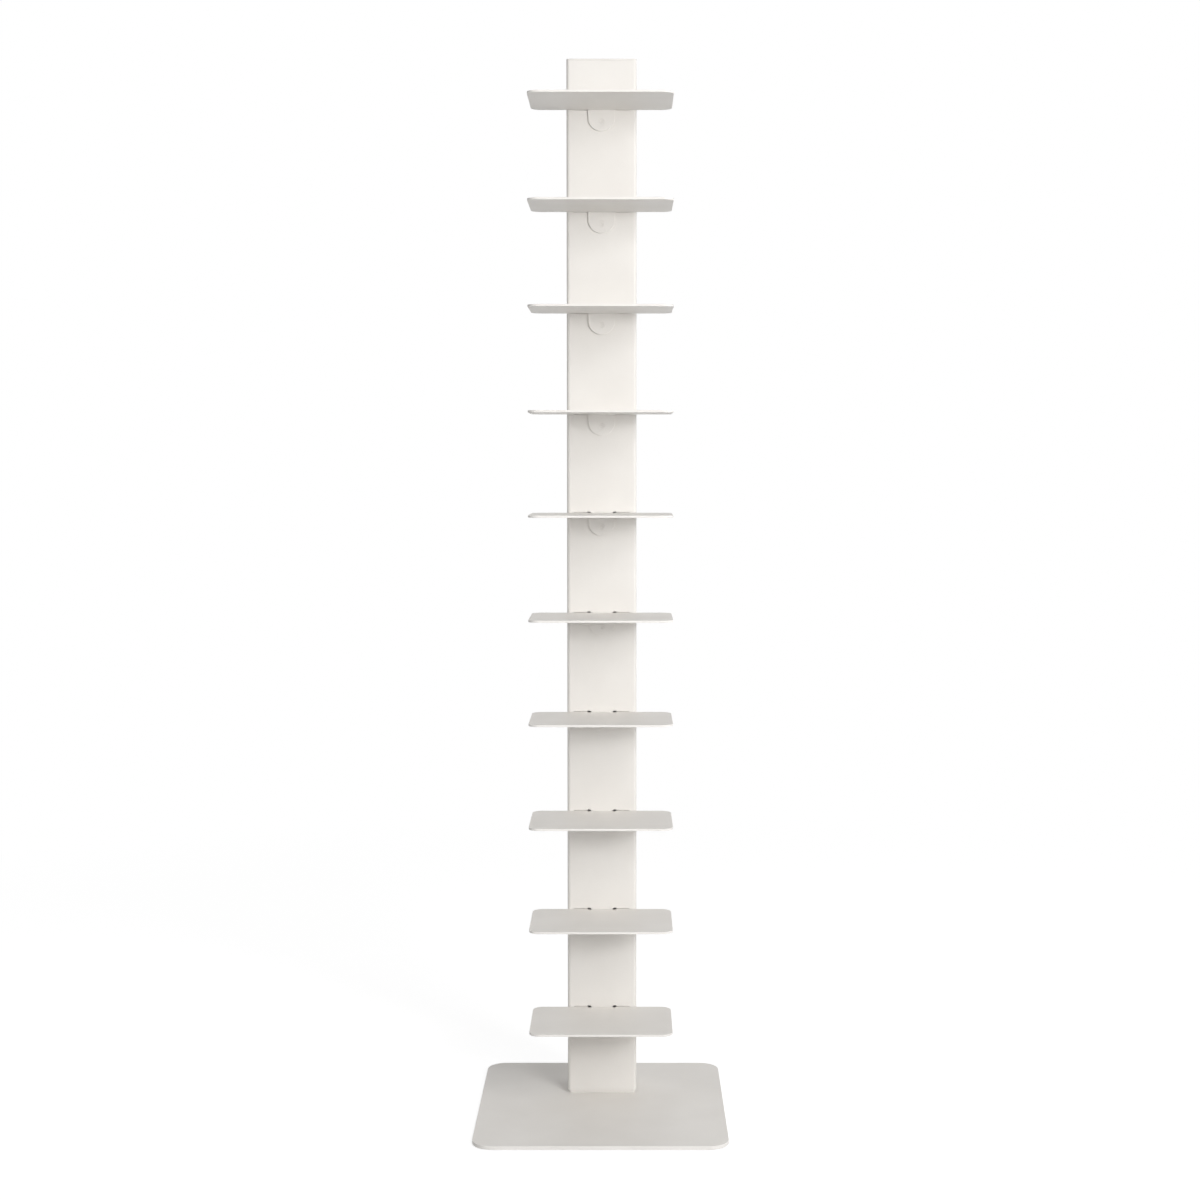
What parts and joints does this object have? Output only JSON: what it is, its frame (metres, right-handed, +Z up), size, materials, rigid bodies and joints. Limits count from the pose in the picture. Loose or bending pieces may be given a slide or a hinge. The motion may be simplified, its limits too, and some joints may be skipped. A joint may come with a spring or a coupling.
{
  "type": "spine bookshelf",
  "caption": "Free-standing tower of flat sheet-steel shelves cantilevered from the front of one tubular column on a square base plate, for books laid in piles.",
  "frame": {"origin": "on the floor, below the middle of the base plate", "axes": "+Z up along the column, the front with the shelves faces -Y, +X to the viewer's right"},
  "size_m": [0.35, 0.35, 1.5],
  "materials": {
    "powder_coat": "fine matt off-white powder coat",
    "cap_plastic": "matt off-white moulded plastic",
    "zinc_plate": "bright zinc plate",
    "pad_rubber": "matt pale rubber"
  },
  "bodies": {
    "root": {"base_plate": "powder_coat", "column_foot_plate": "powder_coat", "column": "powder_coat", "shelf_01": "powder_coat", "shelf_02": "powder_coat", "shelf_03": "powder_coat", "shelf_04": "powder_coat", "shelf_05": "powder_coat", "shelf_06": "powder_coat", "shelf_07": "powder_coat", "shelf_08": "powder_coat", "shelf_09": "powder_coat", "shelf_10": "powder_coat", "shelf_screw_01": "powder_coat", "shelf_screw_02": "powder_coat", "shelf_screw_03": "powder_coat", "shelf_screw_04": "powder_coat", "shelf_screw_05": "powder_coat", "shelf_screw_06": "powder_coat", "shelf_screw_07": "powder_coat", "shelf_screw_08": "powder_coat", "shelf_screw_09": "powder_coat", "shelf_screw_10": "powder_coat", "top_cap": "cap_plastic", "base_bolt_01": "zinc_plate", "base_bolt_02": "zinc_plate", "base_bolt_03": "zinc_plate", "base_bolt_04": "zinc_plate", "screw_insert_01": "zinc_plate", "screw_insert_02": "zinc_plate", "screw_insert_03": "zinc_plate", "screw_insert_04": "zinc_plate", "screw_insert_05": "zinc_plate", "screw_insert_06": "zinc_plate", "screw_insert_07": "zinc_plate", "screw_insert_08": "zinc_plate", "screw_insert_09": "zinc_plate", "screw_insert_10": "zinc_plate", "floor_pad_01": "pad_rubber", "floor_pad_02": "pad_rubber", "floor_pad_03": "pad_rubber", "floor_pad_04": "pad_rubber"}
  },
  "joints": []
}
